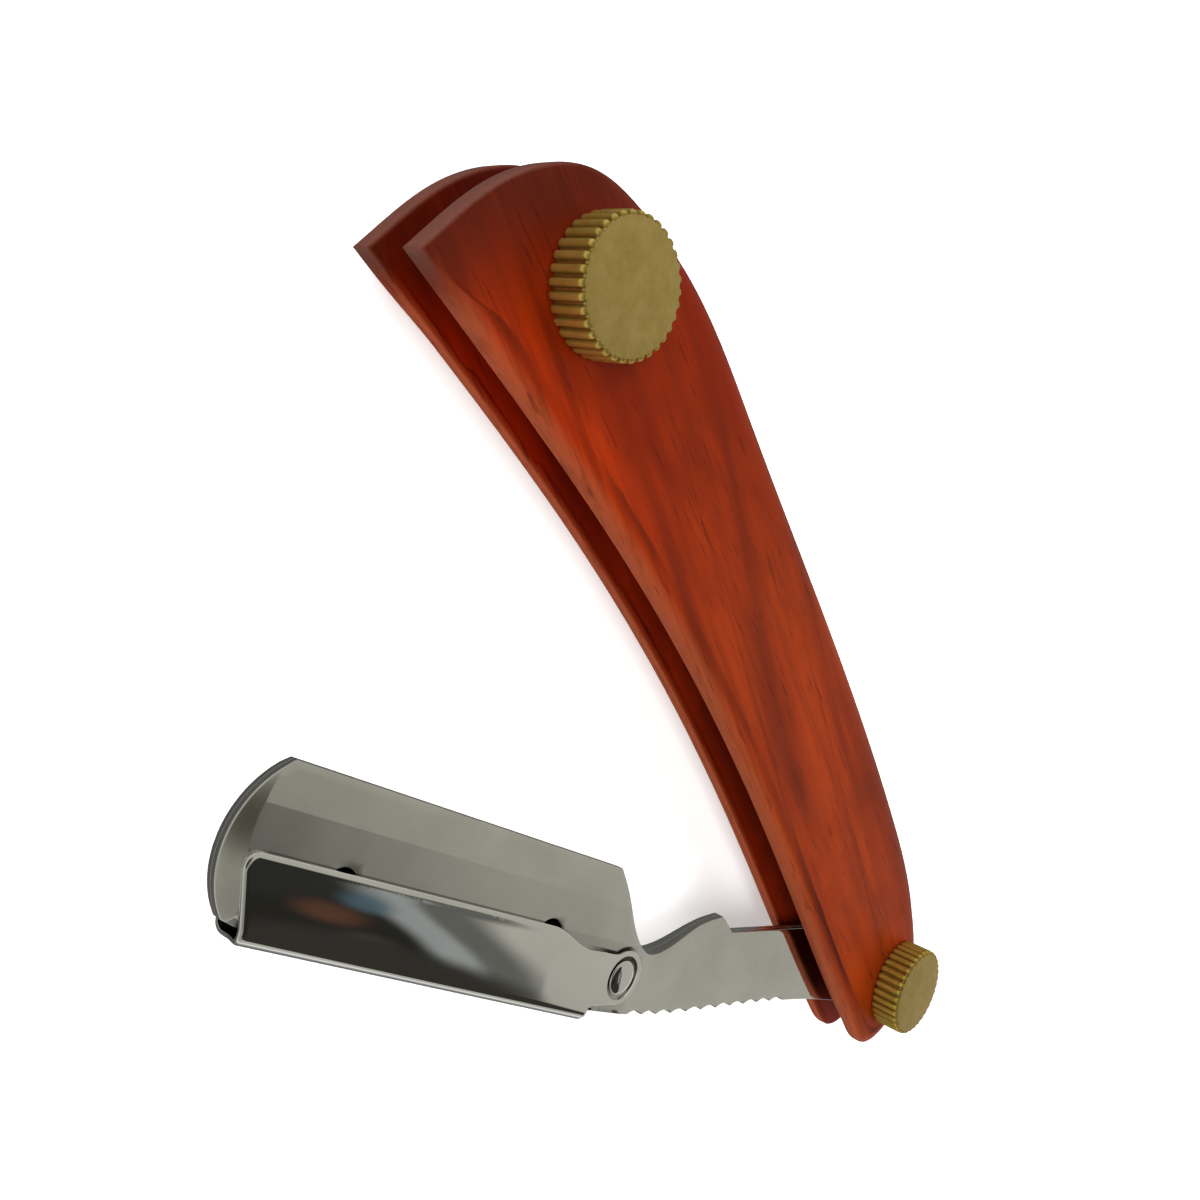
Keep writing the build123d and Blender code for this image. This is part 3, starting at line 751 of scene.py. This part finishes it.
# ================ materials
class Nodes:
    """A material's node tree, built by short calls."""

    def __init__(self, name, tree=None):
        if tree is None:
            self.material = bpy.data.materials.new(name)
            self.material.use_nodes = True
            tree = self.material.node_tree
            self.shader = tree.nodes["Principled BSDF"]
        self.tree = tree

    def add(self, kind, **settings):
        """A new node, with values or links for its inputs and its own properties."""
        node = self.tree.nodes.new(kind)
        for key, value in settings.items():
            if key in node.inputs:
                self.put(value, node.inputs[key])
            else:
                setattr(node, key, value)
        return node

    def put(self, value, socket):
        """Links or sets a socket."""
        if isinstance(value, bpy.types.NodeSocket):
            self.tree.links.new(value, socket)
        else:
            if isinstance(value, tuple) and len(value) == 3 and socket.type == "RGBA":
                value = (*value, 1.0)
            socket.default_value = value

    def place(self, scale=(1, 1, 1), turn=0.0, shift=(0, 0, 0)):
        """Position on the object, in metres, shifted and turned about Z, then stretched."""
        source = self.add("ShaderNodeTexCoord").outputs["Object"]
        moved = self.add("ShaderNodeMapping", Vector=source, Location=shift, Rotation=(0, 0, turn))
        return self.add("ShaderNodeMapping", Vector=moved.outputs["Vector"], Scale=scale).outputs["Vector"]

    def noise(self, vector, scale, detail=3.0, roughness=0.5, distortion=0.0):
        """Noise from 0 to 1."""
        node = self.add("ShaderNodeTexNoise", Vector=vector, Scale=scale, Detail=detail)
        node.inputs["Roughness"].default_value = roughness
        node.inputs["Distortion"].default_value = distortion
        return node.outputs["Fac"]

    def ramp(self, value, stops):
        """Colours, or greys given as one number, at positions from 0 to 1."""
        node = self.add("ShaderNodeValToRGB", Fac=value)
        elements = node.color_ramp.elements
        while len(elements) < len(stops):
            elements.new(0.5)
        for element, (at, colour) in zip(elements, stops):
            element.position = at
            if not hasattr(colour, "__len__"):
                colour = (colour, colour, colour)
            element.color = (*colour, 1.0)
        return node.outputs["Color"]

    def mix(self, share, low, high, blend="MIX"):
        """Colour that turns from low to high, or blends high over low, by the share."""
        node = self.add("ShaderNodeMix", data_type="RGBA", blend_type=blend)
        self.put(share, node.inputs["Factor"])
        self.put(low, node.inputs[6])
        self.put(high, node.inputs[7])
        return node.outputs[2]

    def math(self, operation, *values):
        """Result of one operation on numbers."""
        node = self.add("ShaderNodeMath", operation=operation)
        for socket, value in zip(node.inputs, values):
            self.put(value, socket)
        return node.outputs["Value"]

    def product(self, first, *others):
        """All values multiplied."""
        for value in others:
            first = self.math("MULTIPLY", first, value)
        return first

    def split(self, vector):
        """X, Y and Z of a vector."""
        return self.add("ShaderNodeSeparateXYZ", Vector=vector).outputs

    def spread(self, value, low, high, start=0.0, end=1.0, kind="LINEAR"):
        """Turns start..end into low..high."""
        node = self.add("ShaderNodeMapRange", Value=value, interpolation_type=kind)
        for name, number in (("From Min", start), ("From Max", end), ("To Min", low), ("To Max", high)):
            node.inputs[name].default_value = number
        return node.outputs["Result"]

    def near(self, vector, centre, inner, outer):
        """1 within the inner distance of a place, falling smoothly to 0 at the outer one."""
        gap = self.add("ShaderNodeVectorMath", operation="DISTANCE")
        self.put(vector, gap.inputs[0])
        gap.inputs[1].default_value = centre
        return self.spread(gap.outputs["Value"], 1.0, 0.0, inner, outer, "SMOOTHSTEP")

    def from_axis(self, vector):
        """Distance from the Z axis."""
        flat = self.add("ShaderNodeVectorMath", operation="MULTIPLY")
        self.put(vector, flat.inputs[0])
        flat.inputs[1].default_value = (1, 1, 0)
        length = self.add("ShaderNodeVectorMath", operation="LENGTH")
        self.put(flat.outputs["Vector"], length.inputs[0])
        return length.outputs["Value"]

    def bump(self, height, depth_mm, strength=1.0, normal=None):
        """Normal bent by a height, on top of another normal."""
        node = self.add("ShaderNodeBump", Height=height, Distance=depth_mm * MM, Strength=strength)
        if normal is not None:
            self.put(normal, node.inputs["Normal"])
        return node.outputs["Normal"]

    def finish(self, **sockets):
        """Sets the shader's sockets, with _ for the spaces in their names."""
        for name, value in sockets.items():
            self.put(value, self.shader.inputs[name.replace("_", " ")])
        return self.material


# Colours are linear RGB. Places on the object are in metres, and distances in from an outline in mm.
WOOD_ORANGE = (0.235, 0.0265, 0.0022)
WOOD_RED = (0.180, 0.0190, 0.0025)
WOOD_BROWN = (0.095, 0.0110, 0.0025)
WOOD_MAROON = (0.048, 0.0065, 0.0030)
WOOD_RED_TINT = (1.04, 0.68, 0.45)  # the upper half is redder
WOOD_LOW_TINT = (0.91, 0.88, 0.74)  # the pivot end is browner
# paler front edge: partly real wear, partly painted sheen
WOOD_WORN_SHEEN = (0.270, 0.0610, 0.0240)
WOOD_TOP_SHEEN = (0.230, 0.1350, 0.1050)  # painted highlight: a pale sheen along the top edge
# painted shade: the dark line along the inside of the front rounding
WOOD_SHADE_LINE = (0.050, 0.0050, 0.0015)
WOOD_PORE = (0.022, 0.004, 0.002)
WOOD_SLOT_SHADE = (0.72, 0.42, 0.30)  # painted shade: the faces inside the slot are darkened
BACK_LIGHT_GAIN = 1.3  # painted light: the back scale's colours are lighter
BACK_SHIFT = (0.031, 0.017, 0.02)  # and has its own figure
RED_FROM = (0.070, 0.115)  # the tones turn between these places along Y
BROWN_TO = (0.030, 0.070)
BROWN_ACROSS = (-0.010, 0.012)  # and across X
MAROON_FROM = (0.1180, 0.1285)  # the dark maroon band at the top
MAROON_SLANT = 0.30  # it starts lower at the back
MAROON_WANDER = 0.010
FRONT_X = (-0.006, -0.002)  # the worn edge with its painted sheen, and the painted shade line, keep to the front edge
FRONT_Y = (0.124, 0.1325)  # and stop below the top
WORN_SHEEN_REACH = (0.1, 1.8)
SHADE_LINE_REACH = ((1.3, 2.1), (2.4, 3.2))  # where the painted shade line fades in and out
TOP_SHEEN_Y = (0.1290, 0.1325)
TOP_SHEEN_REACH = (0.15, 0.45)
# heights between which the painted shade inside the slot fades
SLOT_SHADE_LOW = ((Z_SLOT_LOW - 0.2) * MM, (Z_SLOT_LOW - 0.02) * MM)
SLOT_SHADE_HIGH = ((Z_SLOT_HIGH + 0.02) * MM, (Z_SLOT_HIGH + 0.2) * MM)


def wood_figure(n, x, y, shift, orange, red, brown):
    """Soft figure along the handle with brown clouds and dark streaks, redder above and browner below."""
    figure = n.noise(n.place(scale=(1.0, 0.07, 1.0), turn=0.10, shift=shift), 95.0, 4.0, 0.55, 0.7)
    base = n.ramp(figure, [(0.30, brown), (0.43, red), (0.55, orange), (0.72, red)])
    clouds = n.noise(n.place(scale=(1.0, 0.40, 1.0), shift=shift), 60.0, 4.0, 0.6)
    browner = n.math("SUBTRACT", clouds, n.spread(x, -0.04, 0.09, *BROWN_ACROSS))
    base = n.mix(n.ramp(browner, [(0.36, 0.70), (0.54, 0.0)]), base, brown)
    streaks = n.noise(n.place(scale=(1.0, 0.016, 1.0), turn=0.12, shift=shift), 330.0, 3.0, 0.55, 0.4)
    base = n.mix(n.ramp(streaks, [(0.33, 0.55), (0.43, 0.0)]), base, brown)
    base = n.mix(n.spread(y, 0.0, 1.0, *RED_FROM, "SMOOTHSTEP"), base, WOOD_RED_TINT, "MULTIPLY")
    base = n.mix(n.spread(y, 1.0, 0.0, *BROWN_TO, "SMOOTHSTEP"), base, WOOD_LOW_TINT, "MULTIPLY")
    slanted = n.math("ADD", y, n.product(x, MAROON_SLANT))
    wander = n.math("ADD", slanted, n.spread(clouds, -MAROON_WANDER, MAROON_WANDER))
    return n.mix(n.spread(wander, 0.0, 0.92, *MAROON_FROM, "SMOOTHSTEP"), base, WOOD_MAROON)


def wood_front_edge(n, base, x, y, reach, shift):
    """Worn front edge, paler with painted sheen, and a broken painted shade line along the inside of its
    rounding.
    """
    across = n.spread(x, 1.0, 0.0, *FRONT_X, "SMOOTHSTEP")
    on_front = n.product(across, n.spread(y, 1.0, 0.0, *FRONT_Y, "SMOOTHSTEP"))
    # Paler rounding on the front edge: partly real wear, partly painted sheen.
    worn_sheen = n.product(n.spread(reach, 0.75, 0.0, *WORN_SHEEN_REACH, "SMOOTHSTEP"), on_front)
    base = n.mix(worn_sheen, base, WOOD_WORN_SHEEN)
    patches = n.noise(n.place(scale=(1.0, 0.20, 1.0), shift=shift), 190.0, 3.0)
    broken = n.ramp(patches, [(0.36, 1.0), (0.60, 0.15)])
    # Painted shade: a broken dark line along the inside of the front rounding.
    starts, ends = SHADE_LINE_REACH
    line = n.product(n.spread(reach, 0.0, 1.0, *starts), n.spread(reach, 1.0, 0.0, *ends))
    return n.mix(n.product(line, on_front, broken), base, WOOD_SHADE_LINE)


def wood(name, shift=(0.0, 0.0, 0.0), light_gain=1.0):
    """Orange-red scales with figure, worn front edges with painted sheen and a painted shade line, a
    painted highlight along the top, fine threads and pores, painted shade inside the slot, and a gain that
    paints the colours lighter.
    """
    n = Nodes(name)
    shades = (WOOD_ORANGE, WOOD_RED, WOOD_BROWN)
    # Painted light: the gain lightens the three shades.
    orange, red, brown = (tuple(light_gain * part for part in shade) for shade in shades)
    x, y, z = n.split(n.place())
    reach = n.add("ShaderNodeAttribute", attribute_name=EDGE_REACH).outputs["Fac"]
    base = wood_figure(n, x, y, shift, orange, red, brown)
    base = wood_front_edge(n, base, x, y, reach, shift)
    threads = n.noise(n.place(scale=(1.0, 0.018, 1.0), turn=0.06, shift=shift), 1300.0, 4.0, 0.65, 0.2)
    base = n.mix(n.ramp(threads, [(0.34, 0.42), (0.50, 0.0)]), base, brown)
    pores = n.noise(n.place(scale=(1.0, 0.05, 1.0), shift=shift), 3200.0, 2.0)
    base = n.mix(n.ramp(pores, [(0.30, 0.45), (0.37, 0.0)]), base, WOOD_PORE)
    # Painted highlight along the top edges.
    on_top_sheen = n.product(n.spread(reach, 1.0, 0.0, *TOP_SHEEN_REACH), n.spread(y, 0.0, 0.20, *TOP_SHEEN_Y))
    base = n.mix(on_top_sheen, base, WOOD_TOP_SHEEN)
    # Painted shade on the faces inside the slot.
    in_slot_shade = n.product(n.spread(z, 0.0, 1.0, *SLOT_SHADE_LOW), n.spread(z, 1.0, 0.0, *SLOT_SHADE_HIGH))
    base = n.mix(in_slot_shade, base, WOOD_SLOT_SHADE, "MULTIPLY")
    fine = n.noise(n.place(scale=(1.0, 0.12, 1.0), shift=shift), 1500.0, 5.0, 0.7)
    gloss = n.noise(n.place(shift=shift), 260.0, 4.0)
    return n.finish(
        Base_Color=base,
        Roughness=n.spread(gloss, 0.36, 0.52),
        Specular_IOR_Level=0.05,
        Normal=n.bump(pores, 0.02, 0.4, n.bump(fine, 0.012, 0.35)),
    )


BRASS_SHADES = [(0.48, 0.345, 0.095), (0.54, 0.40, 0.120), (0.60, 0.455, 0.155)]
BRASS_SHADE_TONES = {"pivot": (0.93, 0.88, 0.70), "top": (1.02, 1.01, 1.05)}  # painted shade: the pivot nuts' brass is browner and darker, for their dimmer reflections
# painted reflection: a yellower tint on the knurled sides
BRASS_SIDE_REFLECTION_TINT = (1.0, 1.03, 0.74)
BRASS_VALLEY_DARK = (0.17, 0.09, 0.014)
VALLEY_DARK_R = ((NUT_R - 0.4) * MM, (NUT_R - 0.12) * MM)  # from the teeth's feet up their flanks
TEETH_R = ((NUT_R - 0.5) * MM, (NUT_R - 0.42) * MM)  # where the flat faces end


def brass(name, at_y, shade_tone):
    """Turned brass with fine rings round the nut's axis, darker between the teeth, a painted reflection
    tint on the teeth and a painted shade tone for each pair of nuts.
    """
    n = Nodes(name)
    spot = n.place(shift=(0, -at_y * MM, 0))
    radius = n.from_axis(spot)
    turned = n.noise(n.add("ShaderNodeCombineXYZ", X=radius).outputs["Vector"], 9000.0, 2.0, 0.6)
    stains = n.noise(spot, 620.0, 4.0, 0.6)
    # Painted shade: each pair of nuts has its own tone.
    shades = [tuple(a * b for a, b in zip(shade, shade_tone)) for shade in BRASS_SHADES]
    colour = n.ramp(stains, list(zip((0.30, 0.50, 0.72), shades)))
    on_teeth = n.spread(radius, 0.0, 1.0, *TEETH_R)
    # Painted reflection tint on the knurled sides.
    colour = n.mix(on_teeth, colour, BRASS_SIDE_REFLECTION_TINT, "MULTIPLY")
    # Darker in the valleys between the teeth.
    colour = n.mix(n.product(n.spread(radius, 0.7, 0.0, *VALLEY_DARK_R), on_teeth), colour, BRASS_VALLEY_DARK)
    return n.finish(
        Base_Color=colour,
        Metallic=n.spread(on_teeth, 1.0, 0.86),
        Roughness=n.spread(n.noise(spot, 2600.0, 3.0), 0.30, 0.46),
        Normal=n.bump(turned, 0.007, 0.6),
    )


STEEL_SHADES = [(0.30, (0.55, 0.55, 0.505)), (0.70, (0.645, 0.645, 0.60))]
MIRROR_SHADES = [(0.3, (0.66, 0.66, 0.63)), (0.7, (0.74, 0.74, 0.71))]
# painted shadow colour, beside the clip's edge and in the rivet's seat
STEEL_PAINTED_SHADOW = (0.030, 0.027, 0.022)
TANG_TO_HEAD = (0.050, 0.068)  # distances from the pivot between which the finish changes
# Painted shadow lines on the plate along the clip's edge: where they fade, by distance from the rivet or by
# X and Y from it
EAR_GAP_SHADOW = {
    "r": ((CLIP_EAR_R + 0.25) * MM, (CLIP_EAR_R + 0.40) * MM),
    "x": (-0.0014, 0.0002),
    "y": (-0.0024, -0.0010),
}
STEP_GAP_SHADOW = {"x": ((0.0006, 0.0013), (0.0040, 0.0075)), "y": ((-0.00268, -0.00255), (-0.0015, -0.0005))}
RIM_GAP_SHADOW = {"x": ((0.0120, 0.0150), (0.0512, 0.0521)), "y": ((-0.00388, -0.00381), (-0.0034, -0.0030))}
RIM_GAP_SHADOW_SHARE = 0.6
SEAT_SHADOW_R = ((RIVET_SEAT_R - 0.05) * MM, (RIVET_SEAT_R + 0.1) * MM)
SEAT_SHADOW_SLANT = (-0.0022, 0.0012)  # the painted shadow is stronger towards the nose and the clip's free edge


def from_rivet(n):
    """Distance from the rivet's axis, and X and Y from it in the holder's frame."""
    place = n.place(turn=-HOLDER_TURN, shift=(-RIVET_AT[0] * MM, -RIVET_AT[1] * MM, 0))
    x, y, _ = n.split(place)
    return n.from_axis(place), x, y


def clip_gap_shadow(n):
    """Painted shadow on the plate beside the clip's edge: round the ear, at the S-curve and along the rim.
    """
    distance, x, y = from_rivet(n)
    ring = n.product(n.spread(distance, 1.0, 0.0, *EAR_GAP_SHADOW["r"]), n.spread(y, 1.0, 0.0, *EAR_GAP_SHADOW["y"]))
    shade = n.product(ring, n.spread(x, 0.0, 1.0, *EAR_GAP_SHADOW["x"]))
    for gap, share in ((STEP_GAP_SHADOW, 1.0), (RIM_GAP_SHADOW, RIM_GAP_SHADOW_SHARE)):
        (x_start, x_end), (y_start, y_end) = gap["x"], gap["y"]
        across = n.product(n.spread(y, 0.0, share, *y_start), n.spread(y, 1.0, 0.0, *y_end))
        along = n.product(n.spread(x, 0.0, 1.0, *x_start), n.spread(x, 1.0, 0.0, *x_end))
        shade = n.math("MAXIMUM", shade, n.product(across, along))
    return shade


def steel(name):
    """Satin ground steel on the head, finer and shinier on the tang, with painted shadow beside the clip's
    edge.
    """
    n = Nodes(name)
    along, _, _ = n.split(n.place(turn=-HOLDER_TURN))
    ground = n.noise(n.place(scale=(1.0, 0.03, 0.0), turn=-HOLDER_TURN), 2400.0, 1.0)
    smears = n.noise(n.place(), 140.0, 4.0)
    satin = n.spread(along, 0.055, 0.27, *TANG_TO_HEAD, "SMOOTHSTEP")
    return n.finish(
        # Painted shadow beside the clip's edge, mixed into the colour.
        Base_Color=n.mix(clip_gap_shadow(n), n.ramp(smears, STEEL_SHADES), STEEL_PAINTED_SHADOW),
        Metallic=1.0,
        Roughness=n.math("ADD", satin, n.spread(smears, -0.03, 0.04)),
        Normal=n.bump(ground, 0.003, 0.2),
    )


def mirror_steel(name, dent_scale, dent_mm, seat_shadow_share):
    """Polished steel with faint wipe marks and shallow dents, and painted shadow in the rivet's seat."""
    n = Nodes(name)
    smears = n.noise(n.place(scale=(0.5, 1.0, 1.0), turn=-HOLDER_TURN), 200.0, 4.0)
    dents = n.noise(n.place(turn=-HOLDER_TURN), dent_scale, 1.0)
    distance, x, y = from_rivet(n)
    slant = n.spread(n.math("SUBTRACT", x, y), 0.35, 1.0, *SEAT_SHADOW_SLANT)
    # Painted shadow round the rivet's seat, stronger on one side.
    seat_shadow = n.product(n.spread(distance, seat_shadow_share, 0.0, *SEAT_SHADOW_R), slant)
    return n.finish(
        Base_Color=n.mix(seat_shadow, n.ramp(smears, MIRROR_SHADES), STEEL_PAINTED_SHADOW),
        Metallic=1.0,
        Roughness=n.math("ADD", n.spread(smears, 0.02, 0.055), n.product(seat_shadow, 0.3)),
        Normal=n.bump(dents, dent_mm, 0.3),
    )


# ================ studio
LIGHTS = [  # name, place and diameter in metres, and power in watts
    ("key", (-0.45, 0.60, 0.70), 0.6, 8.0),
    ("fill", (0.45, 0.65, 0.60), 0.6, 6.0),
    ("lift", (0.50, -0.55, 0.70), 0.8, 7.0),
]
LIGHTS_AIM = (0, 0.06, 0)


def add_camera():
    """The scene's camera."""
    data = bpy.data.cameras.new("camera")
    data.lens = LENS_MM
    data.sensor_width = SENSOR_MM
    data.clip_start = 0.005
    camera = bpy.data.objects.new("camera", data)
    back = -CAMERA_FORWARD.normalized()
    right = CAMERA_UP.cross(back).normalized()
    up = back.cross(right)
    camera.matrix_world = Matrix.Translation(CAMERA_PLACE) @ Matrix((right, up, back)).transposed().to_4x4()
    bpy.context.scene.collection.objects.link(camera)
    bpy.context.scene.camera = camera


def area_light(name, place, size, power):
    """Soft round light aimed at the object's middle, hidden from reflections."""
    data = bpy.data.lights.new(name, "AREA")
    data.shape = "DISK"
    data.size = size
    data.energy = power
    light = bpy.data.objects.new(name, data)
    light.visible_glossy = False
    aim = Vector(LIGHTS_AIM) - Vector(place)
    light.matrix_world = Matrix.Translation(place) @ aim.to_track_quat("-Z", "Y").to_matrix().to_4x4()
    bpy.context.scene.collection.objects.link(light)


FLOOR_SIZE = 30.0
FLOOR_Z = -0.0002
FLOOR_GLOW = 0.38  # keeps the floor pale under the object
FLOOR_FAR_GLOW = 0.62  # beyond the lights
FLOOR_NEAR = (0.5, 2.5)


def add_floor():
    """Pale floor that the steel doesn't mirror."""
    n = Nodes("floor")
    speck = n.noise(n.place(), 40.0, 3.0)
    material = n.finish(
        Base_Color=n.ramp(speck, [(0.3, 0.88), (0.7, 0.9)]),
        Roughness=0.8,
        Specular_IOR_Level=0.1,
        Emission_Color=n.ramp(speck, [(0.3, 0.98), (0.7, 1.0)]),
        Emission_Strength=n.spread(n.near(n.place(), (0, 0, 0), *FLOOR_NEAR), FLOOR_FAR_GLOW, FLOOR_GLOW),
    )
    bpy.ops.mesh.primitive_plane_add(size=FLOOR_SIZE, location=(0, 0, FLOOR_Z))
    floor = bpy.context.object
    floor.name = "floor"
    floor.data.materials.append(material)
    floor.visible_glossy = False


def towards(azimuth, elevation):
    """Unit vector of a direction in degrees."""
    a, e = math.radians(azimuth), math.radians(elevation)
    return (math.cos(e) * math.cos(a), math.cos(e) * math.sin(a), math.sin(e))


# Soft-edged regions of the studio: azimuth, elevation, inner and outer radius in degrees, share and colour
ROOM_REGIONS = [
    (-150, 48, 12, 26, 0.8, (0.30, 0.29, 0.26)),
    (100, 74, 14, 30, 1.0, (0.060, 0.054, 0.036)),
    (-103, 54, 22.6, 24.6, 1.0, (0.145, 0.145, 0.135)),
    (-103, 54, 20.4, 21.4, 1.0, (0.36, 0.38, 0.38)),
    (-103, 54, 18.0, 19.4, 1.0, (0.024, 0.023, 0.019)),
    (-70, 57, 8.4, 11.4, 1.0, (0.030, 0.030, 0.028)),
    (-76.5, 46.4, 0.5, 1.9, 0.9, (0.085, 0.135, 0.170)),
    (-81.2, 47.2, 0.5, 2.6, 0.9, (0.120, 0.055, 0.036)),
    (-84.5, 44.0, 0.5, 2.0, 0.6, (0.085, 0.080, 0.070)),
    (-100, 37, 13.2, 15.4, 1.0, (0.040, 0.037, 0.032)),
]


ROOM_BELOW = [(0.0, 0.10), (0.30, 0.16), (0.48, 0.40)]  # from straight down to straight up
ROOM_ABOVE = [(0.50, 0.95), (0.56, 0.90), (0.63, (0.54, 0.525, 0.47)), (1.0, (0.49, 0.48, 0.43))]


def add_world():
    """Grey room, lighter towards the horizon, with the regions that the polished steel mirrors."""
    world = bpy.data.worlds.new("studio")
    world.use_nodes = True
    n = Nodes("studio", world.node_tree)
    way = n.add("ShaderNodeTexCoord").outputs["Generated"]
    _, _, height = n.split(way)
    colour = n.ramp(n.spread(height, 0.0, 1.0, -1.0, 1.0), ROOM_BELOW + ROOM_ABOVE)
    for azimuth, elevation, inner, outer, share, shade in ROOM_REGIONS:
        reach = [2 * math.sin(math.radians(angle) / 2) for angle in (inner, outer)]
        here = n.near(way, towards(azimuth, elevation), *reach)
        colour = n.mix(n.product(here, share), colour, shade)
    n.put(colour, world.node_tree.nodes["Background"].inputs["Color"])
    bpy.context.scene.world = world


# ================ assembly
def body_of(node):
    """Name of the body that a CAD node is on."""
    bodies = frame["record"]["behaviour"]["bodies"]
    return next(body for body, nodes in bodies.items() if node in nodes)


def stand_for(piece, node, material):
    """The piece takes a CAD node's place, on its body, with its material."""
    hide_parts(node)
    piece.data.materials.clear()
    piece.data.materials.append(material)
    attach(piece, body_of(node))


add_camera()
add_world()
add_floor()
for light in LIGHTS:
    area_light(*light)
bpy.context.scene.view_settings.view_transform = "Standard"

front_wood, back_wood = wood("wood_front"), wood("wood_back", BACK_SHIFT, BACK_LIGHT_GAIN)
stand_for(make_scale("scale_front_finish", Z_SLOT_HIGH, Z_FRONT, True), "scale_front", front_wood)
stand_for(make_scale("scale_back_finish", Z_BACK, Z_SLOT_LOW, False), "scale_back", back_wood)
for end, at_y in (("pivot", 0.0), ("top", TOP_Y)):
    metal = brass("brass_" + end, at_y, BRASS_SHADE_TONES[end])
    for side, z_low, face_up in (("front", Z_FRONT, True), ("back", 0.0, False)):
        node = f"{end}_nut_{side}"
        stand_for(make_nut(node + "_finish", at_y, z_low, face_up), node, metal)
    for node in frame["nodes"]:
        if node.startswith(end) and not node.startswith(end + "_nut"):
            stand_for(soften(node, EDGE_WIDTHS[node.split("_")[1]]), node, metal)
ground_steel = steel("holder_steel")
for name, radii, side in (("front", PIN_HOLE_R, 1), ("back", (PIN_R, PIN_R), -1)):
    node = "holder_plate_" + name
    stand_for(make_plate(node + "_finish", radii, side), node, ground_steel)
for node in ("blade_pin_heel", "blade_pin_nose"):
    stand_for(soften(node, EDGE_WIDTHS["blade_pin"]), node, ground_steel)
clip_steel = mirror_steel("polished_steel", dent_scale=70.0, dent_mm=0.07, seat_shadow_share=0.93)
stand_for(make_clip(), "locking_clip", clip_steel)
rivet_steel = mirror_steel("rivet_steel", dent_scale=900.0, dent_mm=0.05, seat_shadow_share=0.0)
stand_for(make_rivet(), "clip_rivet", rivet_steel)
